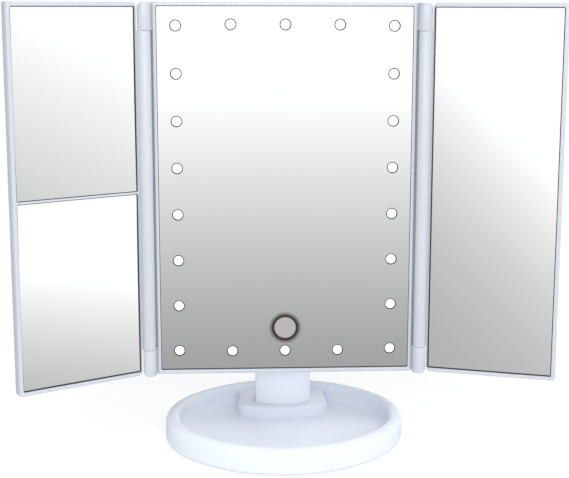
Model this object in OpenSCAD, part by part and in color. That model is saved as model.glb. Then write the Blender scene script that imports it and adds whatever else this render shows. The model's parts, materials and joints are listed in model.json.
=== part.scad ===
// Trifold vanity mirror: a lit centre panel with two folding wings, on an oval tray stand.
// Millimetres. The origin is the middle of the stand's footprint on the table, +Z is up
// and the mirror faces -Y. The panels are drawn in the head's own frame: its origin is the
// middle of the lamp grid on the glass, +Z along the panel and +Y behind it.

/* [Tray] */
// Width of the oval tray
tray_w = 155; // [148:1:180]
// Depth of the oval tray, front to back
tray_d = 118; // [112:1:130]
// Height of the rim above the table
tray_h = 18; // [16:0.5:24]
// Radius of the oval's two ends
tray_end_r = 47; // [42:1:52]
// Width of the rounded rim
rim_w = 9; // [8:0.5:12]
// Height of the tray's floor above the table
floor_z = 7; // [6:0.5:9]
// Thickness of the tray's mouldings
tray_wall = 2; // [1.6:0.1:2.4]
// Radius of the rim's outer edge
rim_outer_r = 5; // [3:0.5:6]
// Radius of the rim's inner edge
rim_inner_r = 3.2; // [2:0.2:4]
// Radius of the outer wall's lower edge
skirt_r = 4.5; // [3:0.5:5]
// Thickness of the foam pad under the stand
pad_t = 1; // [0.6:0.1:2]
// Thickness of the plate that closes the stand from below
plate_t = 1.5; // [1.2:0.1:2]

/* [Neck] */
// Width of the seat that the neck stands in
seat_w = 55; // [50:1:62]
// Height of the seat's top above the table
seat_z = 14.5; // [12:0.5:16]
// Width of the ledge between the neck's front and the seat's front
seat_ledge = 2.2; // [1.5:0.1:4]
// Width of the neck where it enters the seat
neck_w = 37.2; // [34:0.2:40]
// Step from the end of the tilt barrel in to the neck's side below it
neck_step = 0.4; // [0.2:0.1:1.5]
// Depth of the neck, front to back
neck_d = 16.5; // [15:0.5:18]
// Radius of the neck's curved front
neck_front_r = 33; // [28:1:40]
// Radius of the neck's upright edges
neck_edge_r = 2.5; // [1:0.5:4]
// Wall of the neck's two shells
neck_wall = 2; // [1.6:0.1:2.4]
// Distance of the neck's front behind the middle of the tray, at the seat
neck_front_y = 19; // [16:0.5:22]

/* [Tilt hinge] */
// Height of the tilt axis above the table
tilt_z = 73; // [70:0.5:80]
// Distance of the tilt axis behind the middle of the tray
tilt_y = 19.1; // [17:0.1:21]
// Angle that the head leans back by at rest
lean = 5; // [0:1:15]
// Radius of the neck's tilt barrel
barrel_r = 8; // [7:0.1:9]
// Length of the tilt barrel
barrel_l = 36; // [34:0.5:38]
// Radius of the steel tilt axle
axle_r = 2.5; // [2:0.1:3]
// Radius of the round end of each ear
ear_r = 8.5; // [7.5:0.1:9.5]
// Thickness of each ear
ear_t = 5; // [4:0.5:7]
// Thickness of the friction washers beside the barrel
washer_t = 0.8; // [0.5:0.1:1.2]
// Radius of the friction washers
washer_r = 6.5; // [5:0.1:7.5]
// Distance of the tilt axis behind the mirror's face
axle_back = 25; // [23:0.5:27]
// Height of the tilt axis above the centre panel's lower edge
axle_rise = 26.1; // [23:0.1:30]

/* [Centre panel] */
// Width of the centre mirror's pocket
mirror_w = 158.7; // [150:0.1:170]
// Height of the centre mirror's pocket
mirror_h = 230.4; // [222:0.1:240]
// Distance of the pocket's middle above the lamp grid's middle
mirror_rise = -0.3; // [-2:0.1:2]
// Width of the bezel at each side
bezel_side = 2.05; // [1.6:0.05:3]
// Width of the bezel at the top
bezel_top = 2; // [1.6:0.1:4]
// Width of the bezel at the bottom
bezel_bottom = 2.6; // [1.6:0.1:4]
// Height of the bezel above the glass
bezel_lip = 0.8; // [0.4:0.1:1.2]
// Chamfer round the front and back edges of the panels
edge_c = 0.5; // [0.3:0.1:0.8]
// Radius of the centre panel's corners
panel_r = 2; // [1:0.5:3]
// Thickness of the centre glass
glass_t = 2; // [1.8:0.1:3]
// Thickness of the foam tape behind the glass
tape_t = 0.5; // [0.4:0.1:1]
// Thickness of the panels' plastic walls
wall = 2; // [1.6:0.1:2.4]
// Distance of the seam between housing and cover behind the glass's face
seam_y = 8; // [7:0.5:9]
// Distance of the centre panel's back behind the glass's face
back_y = 13; // [12:0.5:14]
// Inset of the centre panel's back from its sides
back_inset = 5; // [3:0.5:8]

/* [Lamps] */
// Number of lamps up each side
lamp_rows = 8; // [4:1:10]
// Number of lamps across the top and the bottom
lamp_cols = 5; // [3:1:7]
// Distance of the side rows of lamps inside the edge of the mirror's pocket
lamp_side = 11.85; // [10:0.05:14]
// Distance of the corner lamps inside the pocket's top and bottom edges
lamp_end = 12.4; // [11:0.1:15]
// How far the middle lamps at top and bottom stand outside the corner lamps
lamp_bow = 0.7; // [0:0.1:1]
// Radius of a lamp's white lens
lens_r = 3.05; // [2.5:0.05:3.4]
// Radius of a lamp's window in the glass
window_r = 3.55; // [3.5:0.05:4]
// Radius of a lens's flange, in the tape behind the glass
flange_r = 4.3; // [4:0.1:4.6]
// Thickness of a lens's flange
flange_t = 0.4; // [0.3:0.1:0.4]
// Width of the lamp boards
board_w = 7; // [6:0.5:8]
// Thickness of the circuit boards
board_t = 1; // [0.8:0.1:1.6]
// Height of the touch spot above the lowest corner lamps
touch_rise = 14.4; // [14:0.1:20]
// Radius of the touch sensor
touch_r = 9; // [7:0.1:10]

/* [Wing hinges] */
// Distance of each wing hinge's axis outside the centre panel's side
hinge_gap = 5; // [4.6:0.1:5.6]
// Distance of the hinge axes in front of the mirrors' faces
hinge_out = 2.5; // [2:0.1:3]
// Radius of the wings' hinge tubes
tube_r = 3.95; // [3.6:0.05:4]
// Radius of the centre panel's knuckles
knuckle_r = 4.1; // [3.8:0.05:4.2]
// Height of each knuckle
knuckle_h = 17; // [12:0.5:22]
// Radius of the knuckles' outer corners
knuckle_corner_r = 3.5; // [2:0.5:4]
// Radius of the steel hinge pins
pin_r = 1.25; // [1:0.05:1.5]
// Length of a hinge pin inside its knuckle
pin_seat_l = 13; // [8:1:14]
// Length of a hinge pin inside its tube
pin_tube_l = 18; // [10:1:30]

/* [Wings] */
// Angle of the left wing forward of flat
left_fold = 30; // [0:0.5:90]
// Angle of the right wing forward of flat
right_fold = 17.5; // [0:0.5:90]
// Width of a wing's bezel beside the hinge
wing_bezel_in = 0.7; // [0.6:0.1:3]
// Width of a wing's other bezels
wing_bezel = 2.4; // [1.8:0.1:3]
// Thickness of a wing
wing_t = 8; // [7.4:0.1:9]
// Radius of the wing's corners beside the hinge
wing_in_r = 3; // [2:0.5:4]
// Radius of the wing's outer corners
wing_out_r = 1.3; // [1:0.1:3]
// Thickness of the wings' glass
wing_glass_t = 1.8; // [1.6:0.1:2]
// Thickness of the tape behind the wings' glass
wing_tape_t = 0.4; // [0.3:0.1:0.6]
// Height of the left wing's divider above the lamp grid's middle
divider_z = 0; // [-20:0.5:20]
// Width of the left wing's divider
divider_w = 1.2; // [1:0.1:3]
// Radius of curvature of the left wing's upper magnifying mirror
upper_curve_r = 3200; // [2000:100:6000]
// Radius of curvature of the left wing's lower magnifying mirror
lower_curve_r = 2800; // [2000:100:6000]
// Thickness of the wings' back covers
wing_back_t = 1.5; // [1.2:0.1:1.6]

/* [Battery box] */
// Radius of one cell
cell_r = 7.1; // [6.8:0.05:7.2]
// Length of one cell
cell_l = 50; // [49:0.1:50.5]
// Number of cells side by side
cells = 4; // [2:1:4]
// Gap between one cell and the next
cell_gap = 0.6; // [0.3:0.1:1.2]
// Height of the battery hump's lower edge above the tilt axis
hump_rise = 17.4; // [14:0.2:24]
// Distance of the box's front behind the mirror's face
box_front = 7.5; // [6:0.1:8.5]
// Wall of the battery box
box_wall = 1.6; // [1.4:0.1:2]
// Thickness of the battery door
door_t = 1.8; // [1.6:0.1:2.2]
// Space for the springs and plates at the cells' ends
contact_gap = 2.6; // [2.2:0.1:4]

/* [Fits] */
// Gap below each glass in its pocket, and beside it at the wings' hinges
glass_gap = 0.7; // [0.5:0.05:1]
// Gap between each glass and the other sides of its pocket
glass_slip = 0.3; // [0.2:0.05:0.6]
// Radial clearance of pins that turn
run_fit = 0.05; // [0.03:0.01:0.1]
// Radial clearance of pins that are pressed in
press_fit = 0.02; // [0.01:0.01:0.05]
// Gap between parts that are fitted together
seat_fit = 0.15; // [0.1:0.05:0.3]
// Gap between parts that move past each other
move_gap = 0.3; // [0.2:0.05:0.5]
// Gap between a knuckle and the wing that turns beside it
knuckle_gap = 0.2; // [0.15:0.05:0.5]
// Gap of the moulding seams that show
seam_gap = 0.2; // [0.1:0.05:0.3]

/* [Hidden] */
$fn = 64;

white = "#e9eff8";
shade_white = "#dfe6f0";
mirror_grey = "#c9ced2";
black = "#1d1f22";
steel = "#b8bcc0";
board_green = "#2f6f4a";

// Oval of the tray: two end arcs and two long arcs that meet them without a corner
end_x = tray_w / 2 - tray_end_r;
end_rise = tray_d / 2 - tray_end_r;
long_y = (end_x * end_x - end_rise * end_rise) / (2 * end_rise);
long_r = tray_d / 2 + long_y;
end_half = atan2(long_y, end_x);
oval_steps = 14;
tray_foot_z = 0.6;
outer_r = min(rim_outer_r, rim_w - rim_inner_r - 0.3);
plate_z = pad_t;
plate_inset = skirt_r + 0.7;
plate_top = plate_z + plate_t;
floor_t = 2.2;
floor_under = floor_z - floor_t;
fillet_r = 3;
rim_draft = 0.6;
wall_foot = rim_w + rim_draft;

// Seat and neck
seat_back_y = tray_d / 2 - rim_w;
seat_front_y = neck_front_y - seat_ledge;
seat_bulge = 5.5;
seat_corner_r = 4;
neck_foot_z = floor_z + seat_fit;
neck_top_w = barrel_l - 2 * neck_step;
neck_top_z = tilt_z - barrel_r * 0.8;
neck_top_y = tilt_y - barrel_r;
neck_split = 0.58;
neck_slope = (neck_top_y - neck_front_y) / (neck_top_z - seat_z);
neck_taper = (neck_top_w - neck_w) / (neck_top_z - seat_z);
neck_screw_x = 11;
neck_screw_y = neck_y(neck_foot_z) + neck_d / 2;
screw_r = 1.3;
screw_head_r = 2.6;
screw_head_h = 1.6;
post_r = 3.2;
neck_post_h = 10;
neck_screw_l = 8;
base_screw_x = 50;
base_screw_y = 12;
base_screw_r = 1.1;
base_screw_head_r = 2.2;
base_screw_head_h = 0.9;
base_screw_tip = floor_z - 1;

// Centre panel
frame_x = mirror_w / 2 + bezel_side;
pocket_z0 = mirror_rise - mirror_h / 2;
pocket_z1 = mirror_rise + mirror_h / 2;
frame_z0 = pocket_z0 - bezel_bottom;
frame_z1 = pocket_z1 + bezel_top;
axle_drop = -frame_z0 - axle_rise;
hinge_x = frame_x + hinge_gap;
lip_y = -bezel_lip;
pocket_y = glass_t + tape_t;
web_t = 2;
web_y = pocket_y + web_t;
lamp_grid_w = mirror_w - 2 * lamp_side;
lamp_grid_h = mirror_h - 2 * lamp_end;
lamp_dx = lamp_grid_w / (lamp_cols - 1);
lamp_dz = lamp_grid_h / (lamp_rows - 1);
lamp_hole_r = 3.1;
gasket_sink = 0.3;
led_size = [3.5, 0.7, 2.8];
touch_z = -lamp_grid_h / 2 + touch_rise;

// Knuckles and wings, seen from the hinge axis
knuckle_back = hinge_out + seam_y - 1.5;
groove_y = 0.5;
shelf_x = hinge_x - 0.5;
tube_z0 = frame_z0 + knuckle_h + seam_gap;
tube_z1 = frame_z1 - knuckle_h - seam_gap;
wing_in = knuckle_r + knuckle_gap;
wing_face = hinge_out - bezel_lip;
wing_back_v = wing_face + wing_t;
wing_seam_v = wing_back_v - wing_back_t;
wing_meet = 0.4;
wing_out = hinge_x - wing_meet;
glass_u0 = wing_in + wing_bezel_in;
glass_u1 = wing_out - wing_bezel;
glass_z0 = frame_z0 + wing_bezel;
glass_z1 = frame_z1 - wing_bezel;
flat_floor_v = hinge_out + wing_glass_t + wing_tape_t;
wing_floor_t = 1.2;
tape_w = 6;
dish_facets = 120;
arc_facets = 3600;
upper_z0 = divider_z + divider_w / 2;
lower_z1 = divider_z - divider_w / 2;
upper_pane = pane(upper_z0, glass_z1, glass_slip);
lower_pane = pane(glass_z0, lower_z1, glass_gap);
right_pane = pane(glass_z0, glass_z1, glass_gap);
dish_floor_v = flat_floor_v + max(sag(upper_pane, upper_curve_r), sag(lower_pane, lower_curve_r));

// Battery box, in the head's frame
cell_pitch = 2 * cell_r + cell_gap;
box_w = cells * cell_pitch + 2 * cell_gap;
box_h = cell_l + 2 * contact_gap;
rail = 1.4;
rail_t = 0.9;
box_pocket_y = box_front + box_wall;
cell_y = box_pocket_y + move_gap + cell_r;
box_back = cell_y + cell_r + move_gap + rail_t + door_t;
contact_w = 8;
contact_t = 0.6;
hump_foot = 11;
hump_crown = 5;
hump_w = box_w + 2 * hump_foot;
hump_h = box_h + 2 * hump_foot;
hump_top_w = box_w + 2 * hump_crown;
hump_top_h = box_h + 2 * hump_crown;
box_z = -axle_drop + hump_rise + hump_h / 2;
door_tuck = 3;

// Screws of the rear cover: pairs below, in the middle and at the top
boss_r = 3.4;
cover_screw_in = 15.5;
cover_screw_edge = 12;
cover_screw_x = lamp_grid_w / 2 - cover_screw_in;
cover_screw_z = [frame_z0 + cover_screw_edge, (box_z + hump_h / 2 + frame_z1) / 2,
    frame_z1 - cover_screw_edge];

// Control board and socket, in the head's frame
board_in = 16.5;
board_size = [30, 26];
board_x = lamp_grid_w / 2 - board_in;
board_z = box_z - box_h / 2 - box_wall - board_size[1] / 2 - 1;
board_post_x = 9;
board_post_r = 2;
board_y = seam_y - 1.4;
socket_size = [7.6, 5.2, 2.9];

// Places of the screws
base_screws_at = [for (x = [-base_screw_x, base_screw_x], y = [-base_screw_y, base_screw_y])
    [x, y]];
cover_screws_at = [for (x = [-cover_screw_x, cover_screw_x], z = cover_screw_z) [x, z]];

// Points along an arc of radius r about c, from angle a0 to a1
function arc(c, r, a0, a1, n = 6) =
    [for (i = [0:n]) let (a = a0 + (a1 - a0) * i / n) c + r * [cos(a), sin(a)]];

// Outline of a rectangle with a radius at its top right, top left, bottom left, bottom right
function rounded(x0, x1, z0, z1, r) = concat(
    arc([x1 - r[0], z1 - r[0]], r[0], 0, 90), arc([x0 + r[1], z1 - r[1]], r[1], 90, 180),
    arc([x0 + r[2], z0 + r[2]], r[2], 180, 270), arc([x1 - r[3], z0 + r[3]], r[3], 270, 360));

// Outline of a half round of radius r with sides that run back to y
function half_round(r, y) = concat(arc([0, 0], r, 180, 360, 16), [[r, y], [-r, y]]);

// The same arc without its last point, for outlines that the next arc carries on
function open_arc(c, r, a0, a1, n) =
    [for (i = [0:n - 1]) let (a = a0 + (a1 - a0) * i / n) c + r * [cos(a), sin(a)]];

// Outline of the tray's oval, drawn in by inset
function oval(inset) = concat(
    open_arc([end_x, 0], tray_end_r - inset, -end_half, end_half, oval_steps),
    open_arc([0, -long_y], long_r - inset, end_half, 180 - end_half, oval_steps),
    open_arc([-end_x, 0], tray_end_r - inset, 180 - end_half, 180 + end_half, oval_steps),
    open_arc([0, long_y], long_r - inset, 180 + end_half, 360 - end_half, oval_steps));

// Sides [u0, u1, z0, z1] of the glass in a wing's pocket from z0 to z1, with gap below it
function pane(z0, z1, gap) =
    [glass_u0 + glass_gap, glass_u1 - glass_slip, z0 + gap, z1 - glass_slip];

// Half the diagonal of a pane, and how deep it hollows at that radius of curvature
function half_diagonal(p) = norm([p[1] - p[0], p[3] - p[2]]) / 2;
function sag(p, curve_r) = curve_r - sqrt(pow(curve_r, 2) - pow(half_diagonal(p), 2));

// The neck's front line and its width at height z
function neck_y(z) = neck_front_y + neck_slope * (z - seat_z);
function neck_width(z) = neck_w + neck_taper * (z - seat_z);

// Places of the lamps up a side, and across the top (side = 1) or the bottom (side = -1)
function side_lamps(x) = [for (i = [0:lamp_rows - 1]) [x, -lamp_grid_h / 2 + i * lamp_dz]];
function cross_lamps(side) = [for (i = [1:lamp_cols - 2])
    [-lamp_grid_w / 2 + i * lamp_dx, side * (lamp_grid_h / 2 + lamp_bow)]];
lamps = concat(side_lamps(-lamp_grid_w / 2), side_lamps(lamp_grid_w / 2), cross_lamps(1),
    cross_lamps(-1));

// Stands its children in the head's frame, or in a wing's frame at that wing's hinge axis
module at_head()
    translate([0, tilt_y, tilt_z]) rotate([-lean, 0, 0]) translate([0, -axle_back, axle_drop])
        children();
module at_right_wing()
    at_head() translate([hinge_x, -hinge_out, 0]) rotate([0, 0, -right_fold]) children();
module at_left_wing()
    at_head() translate([-hinge_x, -hinge_out, 0]) rotate([0, 0, left_fold])
        mirror([1, 0, 0]) children();

// A plate with its outline in XZ, from y0 back to y1
module slab(outline, y0, y1)
    translate([0, y1, 0]) rotate([90, 0, 0]) linear_extrude(y1 - y0) polygon(outline);

// A round bar along Y from y0 to y1, at [x, z]
module bar_y(at, r, y0, y1)
    translate([at[0], y1, at[1]]) rotate([90, 0, 0]) cylinder(r = r, h = y1 - y0);

// A round bar along X, centred
module bar_x(r, l) rotate([0, 90, 0]) cylinder(r = r, h = l, center = true);

// A solid whose side follows section, a list of [inset, height], all round the oval; flat
// ovals close it at the section's first and last points
module oval_solid(section) {
    n = 4 * oval_steps;
    rings = len(section);
    points = [for (p = section, q = oval(p[0])) [q[0], q[1], p[1]]];
    sides = [for (j = [0:rings - 2], i = [0:n - 1])
        [j * n + i, j * n + (i + 1) % n, (j + 1) * n + (i + 1) % n, (j + 1) * n + i]];
    first = [for (i = [n - 1:-1:0]) i];
    last = [for (i = [0:n - 1]) (rings - 1) * n + i];
    polyhedron(points, concat(sides, [first, last]));
}

// Section of the tray from its floor up over the rim, down the outer wall, and back up inside
// the hollow rim to the floor's underside
function tray_section() = concat(
    arc([wall_foot + fillet_r, floor_z + fillet_r], fillet_r, 270, 180, 4),
    arc([rim_w - rim_inner_r, tray_h - rim_inner_r], rim_inner_r, 0, 90, 4),
    arc([outer_r, tray_h - outer_r], outer_r, 90, 180, 5),
    arc([skirt_r, tray_foot_z + skirt_r], skirt_r, 180, 270, 4),
    [[plate_inset - 0.2, tray_foot_z], [plate_inset - 0.2, plate_top + 0.3],
     [tray_wall, tray_foot_z + skirt_r], [tray_wall, tray_h - outer_r],
     [outer_r, tray_h - tray_wall], [rim_w - rim_inner_r, tray_h - tray_wall],
     [rim_w - tray_wall, tray_h - rim_inner_r], [wall_foot - tray_wall, floor_z],
     [wall_foot, floor_under]]);

// Plan of the seat: a block with a curved front, which runs back into the tray's wall
module seat_plan(grow) {
    curve_r = (seat_w * seat_w / 4 + seat_bulge * seat_bulge) / (2 * seat_bulge);
    offset(r = seat_corner_r + grow) offset(delta = -seat_corner_r) intersection() {
        translate([-seat_w / 2, seat_front_y]) square([seat_w, seat_back_y - seat_front_y + 8]);
        translate([0, seat_front_y + curve_r]) circle(r = curve_r, $fn = 160);
    }
}

// Plan of the neck, with the curved front's crown at the origin
module neck_plan(w, inset) {
    offset(delta = -inset) offset(r = neck_edge_r) offset(delta = -neck_edge_r) intersection() {
        translate([-w / 2, 0]) square([w, neck_d]);
        translate([0, neck_front_r]) circle(r = neck_front_r, $fn = 120);
    }
}

// The neck's leaning, tapering body between heights z0 and z1, drawn in by inset
module neck_body(inset, z0, z1) {
    hull() for (z = [z0, z1])
        translate([0, neck_y(z), z]) linear_extrude(0.01) neck_plan(neck_width(z), inset);
}

module base_tray() {
    color(white) difference() {
        union() {
            oval_solid(tray_section());
            intersection() {
                translate([0, 0, floor_under]) linear_extrude(seat_z - floor_under) seat_plan(0);
                linear_extrude(tray_h) polygon(oval(rim_w - 1));
            }
            for (at = base_screws_at)
                translate([at[0], at[1], plate_top]) cylinder(r = post_r, h = floor_z - plate_top - 1);
        }
        neck_body(-seat_fit, floor_z, tray_h);
        for (x = [-neck_screw_x, neck_screw_x])
            translate([x, neck_screw_y, 0]) cylinder(r = screw_r + press_fit, h = tray_h);
        for (at = base_screws_at)
            translate([at[0], at[1], 0])
                cylinder(r = base_screw_r + press_fit, h = base_screw_tip + seat_fit);
    }
}

module base_plate() {
    color(shade_white) difference() {
        translate([0, 0, plate_z]) linear_extrude(plate_t) polygon(oval(plate_inset));
        for (at = base_screws_at)
            translate([at[0], at[1], 0]) {
                cylinder(r = base_screw_r + 0.2, h = tray_h);
                cylinder(r = base_screw_head_r + 0.2, h = plate_z + base_screw_head_h);
            }
    }
}

module base_pad() {
    color(black) linear_extrude(pad_t) polygon(oval(plate_inset + 1.2));
}

module base_screws() {
    color(steel) for (at = base_screws_at)
        translate([at[0], at[1], plate_z]) {
            cylinder(r = base_screw_head_r, h = base_screw_head_h);
            cylinder(r = base_screw_r, h = base_screw_tip - plate_z);
        }
}

// The neck's closed shell, before it is split into front and back
module neck_shell() {
    difference() {
        neck_body(0, neck_foot_z, neck_top_z);
        neck_body(neck_wall, neck_foot_z + neck_wall, neck_top_z - neck_wall);
    }
}

// The space behind the neck's seam, which leans with the neck
module behind_seam(gap) {
    rotate([0, 90, 0]) linear_extrude(2 * neck_w, center = true) polygon([
        for (p = [[0, 0], [0, 60], [tilt_z + 30, 60], [tilt_z + 30, 0]])
        [-p[0], p[1] + neck_y(p[0]) + neck_split * neck_d + gap]]);
}

module neck_front() {
    color(white) difference() {
        union() {
            difference() {
                neck_shell();
                behind_seam(0);
            }
            for (x = [-neck_screw_x, neck_screw_x])
                translate([x, neck_screw_y, neck_foot_z]) cylinder(r = post_r, h = neck_post_h);
            translate([0, tilt_y, tilt_z]) bar_x(barrel_r, barrel_l);
        }
        translate([0, tilt_y, tilt_z]) bar_x(axle_r + run_fit, barrel_l + 10);
        for (x = [-neck_screw_x, neck_screw_x])
            translate([x, neck_screw_y, 0])
                cylinder(r = screw_r + press_fit, h = neck_foot_z + neck_screw_l);
    }
}

module neck_back() {
    color(shade_white) difference() {
        intersection() {
            neck_shell();
            behind_seam(seam_gap);
        }
        translate([0, tilt_y, tilt_z]) bar_x(barrel_r + seat_fit, 2 * neck_w);
        for (x = [-neck_screw_x, neck_screw_x])
            translate([x, neck_screw_y, 0])
                cylinder(r = post_r + seat_fit, h = neck_foot_z + neck_post_h + seat_fit);
    }
}

module neck_screws() {
    color(steel) for (x = [-neck_screw_x, neck_screw_x])
        translate([x, neck_screw_y, floor_under - screw_head_h]) {
            cylinder(r = screw_head_r, h = screw_head_h);
            cylinder(r = screw_r, h = screw_head_h + floor_t + neck_screw_l);
        }
}

// One of the centre panel's knuckles, from z0 to z1; outer = 1 rounds its top, -1 its bottom
module knuckle(z0, z1, outer) {
    corner = outer > 0 ? [knuckle_corner_r, 0, 0, 0] : [0, 0, 0, knuckle_corner_r];
    difference() {
        intersection() {
            translate([hinge_x, -hinge_out, z0]) union() {
                linear_extrude(z1 - z0) polygon(half_round(knuckle_r, knuckle_back));
                translate([frame_x - hinge_x - 1, hinge_out + groove_y, 0])
                    cube([hinge_x - frame_x, knuckle_back - hinge_out - groove_y, z1 - z0]);
            }
            slab(rounded(0, hinge_x + knuckle_r, z0, z1, corner), -20, 20);
        }
        translate([hinge_x, -hinge_out, outer > 0 ? z0 - 1 : z1 - pin_seat_l - 0.5])
            cylinder(r = pin_r + press_fit, h = pin_seat_l + 1.5);
    }
}

// The right side's two knuckles, and the shelf that stands behind the wing's tube
module hinge_side() {
    knuckle(frame_z1 - knuckle_h, frame_z1, 1);
    knuckle(frame_z0, frame_z0 + knuckle_h, -1);
    translate([frame_x - 1, tube_r - hinge_out + move_gap, frame_z0 + edge_c])
        cube([shelf_x - frame_x + 1, knuckle_back - tube_r - move_gap,
            frame_z1 - frame_z0 - 2 * edge_c]);
}

// Outline of the centre panel, drawn in by inset
function panel(inset) = rounded(-frame_x + inset, frame_x - inset, frame_z0 + inset,
    frame_z1 - inset, [for (i = [0:3]) max(panel_r - inset, 0.3)]);

module front_housing() {
    color(white) difference() {
        union() {
            difference() {
                hull() {
                    slab(panel(edge_c), lip_y, seam_y);
                    slab(panel(0), lip_y + edge_c, seam_y);
                }
                slab(panel(wall), web_y, seam_y + 1);
                slab(rounded(-mirror_w / 2, mirror_w / 2, pocket_z0, pocket_z1, [1, 1, 1, 1]),
                    lip_y - 1, pocket_y);
            }
            for (at = cover_screws_at)
                bar_y(at, boss_r, web_y - 0.1, seam_y);
            for (x = [-1, 1])
                bar_y([board_x + x * board_post_x, board_z], board_post_r, web_y - 0.1, board_y);
            hinge_side();
            mirror([1, 0, 0]) hinge_side();
        }
        for (at = lamps)
            bar_y(at, lamp_hole_r, 0, web_y + 1);
        bar_y([0, touch_z], touch_r + 1, 0, web_y + 1);
        for (at = cover_screws_at)
            bar_y(at, screw_r + press_fit, web_y - 0.5, seam_y + 1);
    }
}

// The rear cover's shallow pan with the hump over the battery box, drawn in by inset
module cover_form(inset) {
    hull() {
        slab(panel(inset), seam_y + seam_gap, seam_y + 1.5);
        slab(panel(back_inset + inset), seam_y + 1.5, back_y - inset);
    }
    hull() {
        slab(rounded(-hump_w / 2 + inset, hump_w / 2 - inset, box_z - hump_h / 2 + inset,
            box_z + hump_h / 2 - inset, [6, 6, 6, 6]), back_y - 3, back_y - inset);
        slab(rounded(-hump_top_w / 2 + inset, hump_top_w / 2 - inset,
            box_z - hump_top_h / 2 + inset, box_z + hump_top_h / 2 - inset, [5, 5, 5, 5]),
            back_y, box_back - inset);
    }
}

// One ear of the tilt hinge, to the right of the barrel
module ear() {
    ear_x = barrel_l / 2 + washer_t + 2 * seat_fit;
    translate([ear_x, axle_back, -axle_drop]) rotate([90, 0, 90])
        linear_extrude(ear_t) rotate([0, 0, 180]) rotate([0, 0, -90])
            polygon(half_round(ear_r, axle_back - back_y + 1));
}

module rear_cover() {
    color(shade_white) difference() {
        union() {
            difference() {
                cover_form(0);
                cover_form(wall);
                slab(panel(wall), seam_y - 1, seam_y + 2);
            }
            slab(rounded(-box_w / 2 - box_wall, box_w / 2 + box_wall,
                box_z - box_h / 2 - box_wall, box_z + box_h / 2 + box_wall, [1, 1, 1, 1]),
                box_front, box_back - 0.5);
            for (at = cover_screws_at)
                bar_y(at, boss_r, seam_y + seam_gap, back_y - 0.5);
            ear();
            mirror([1, 0, 0]) ear();
        }
        slab(rounded(-box_w / 2, box_w / 2, box_z - box_h / 2, box_z + box_h / 2,
            [0.5, 0.5, 0.5, 0.5]), box_pocket_y, box_back + 1);
        door_way(0);
        for (at = cover_screws_at) {
            bar_y(at, screw_r + 0.2, seam_y - 1, back_y + 1);
            bar_y(at, screw_head_r + 0.3, back_y - 2.4, back_y + 1);
        }
        translate([0, axle_back, -axle_drop])
            bar_x(axle_r + press_fit, barrel_l + 2 * (washer_t + ear_t) - 1);
        translate([board_x, back_y, board_z])
            cube([socket_size[0] + 0.6, 12, socket_size[2] + 0.6], center = true);
    }
}

// Way that the battery door slides in, open at the hump's top; it widens into two side rails
module door_way(fit) {
    z0 = box_z - box_h / 2 - door_tuck + fit;
    z1 = box_z + hump_h / 2 + 1;
    slab(rounded(-box_w / 2 - rail + fit, box_w / 2 + rail - fit, z0, z1, [0.5, 0.5, 1, 1]),
        box_back - door_t - rail_t, box_back - door_t + 0.02);
    slab(rounded(-box_w / 2 + rail + fit, box_w / 2 - rail - fit, z0, z1, [0.5, 0.5, 1, 1]),
        box_back - door_t, box_back + 1);
}

module battery_door() {
    color(white) union() {
        z0 = box_z - box_h / 2 - door_tuck + seat_fit;
        z1 = box_z + hump_top_h / 2;
        slab(rounded(-box_w / 2 - rail + seat_fit, box_w / 2 + rail - seat_fit, z0, z1,
            [0.5, 0.5, 1, 1]), box_back - door_t - rail_t + 0.1, box_back - door_t - 0.05);
        slab(rounded(-box_w / 2 + rail + seat_fit, box_w / 2 - rail - seat_fit, z0, z1,
            [0.5, 0.5, 1, 1]), box_back - door_t - 0.3, box_back);
    }
}

module cover_screws() {
    color(steel) for (at = cover_screws_at) {
        bar_y(at, screw_head_r, back_y - 2.3, back_y - 2.3 + screw_head_h);
        bar_y(at, screw_r, web_y - 0.4, back_y - 2);
    }
}

module centre_mirror() {
    color(mirror_grey) difference() {
        slab(rounded(-mirror_w / 2 + glass_slip, mirror_w / 2 - glass_slip, pocket_z0 + glass_gap,
            pocket_z1 - glass_slip, [1, 1, 1, 1]), 0, glass_t);
        for (at = lamps)
            bar_y(at, window_r, -1, glass_t + 1);
    }
}

module centre_tape() {
    color(black) difference() {
        slab(rounded(-mirror_w / 2 + 0.1, mirror_w / 2 - 0.1, pocket_z0 + 0.1, pocket_z1 - 0.1,
            [1, 1, 1, 1]), glass_t, pocket_y);
        for (at = lamps)
            bar_y(at, flange_r + 0.1, 0, pocket_y + 1);
        bar_y([0, touch_z], touch_r + 1, 0, pocket_y + 1);
    }
}

module lamp_lenses() {
    color("white") for (at = lamps) {
        bar_y(at, lens_r, 0, glass_t + flange_t);
        bar_y(at, flange_r, glass_t, glass_t + flange_t);
    }
}

// A black ring round each lens, which hides the gap to its window
module lamp_gaskets() {
    color(black) for (at = lamps) difference() {
        bar_y(at, window_r - press_fit, gasket_sink, glass_t - press_fit);
        bar_y(at, lens_r + press_fit, 0, glass_t + 1);
    }
}

// A lamp board of size w by h with its middle at [x, z], glued behind the web
module lamp_board(x, z, w, h) {
    color(board_green) translate([x - w / 2, web_y, z - h / 2]) cube([w, board_t, h]);
}

module lamp_board_left()
    lamp_board(-lamp_grid_w / 2, 0, board_w, lamp_grid_h + board_w);
module lamp_board_right()
    lamp_board(lamp_grid_w / 2, 0, board_w, lamp_grid_h + board_w);
module lamp_board_top()
    lamp_board(0, lamp_grid_h / 2 + lamp_bow, lamp_grid_w - 2 * lamp_dx + 2 * board_w, board_w);
module lamp_board_bottom()
    lamp_board(0, -lamp_grid_h / 2 - lamp_bow, lamp_grid_w - 2 * lamp_dx + 2 * board_w, board_w);

module lamp_leds() {
    color("gold") for (at = lamps)
        translate([at[0] - led_size[0] / 2, web_y - led_size[1], at[1] - led_size[2] / 2])
            cube(led_size);
}

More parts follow.
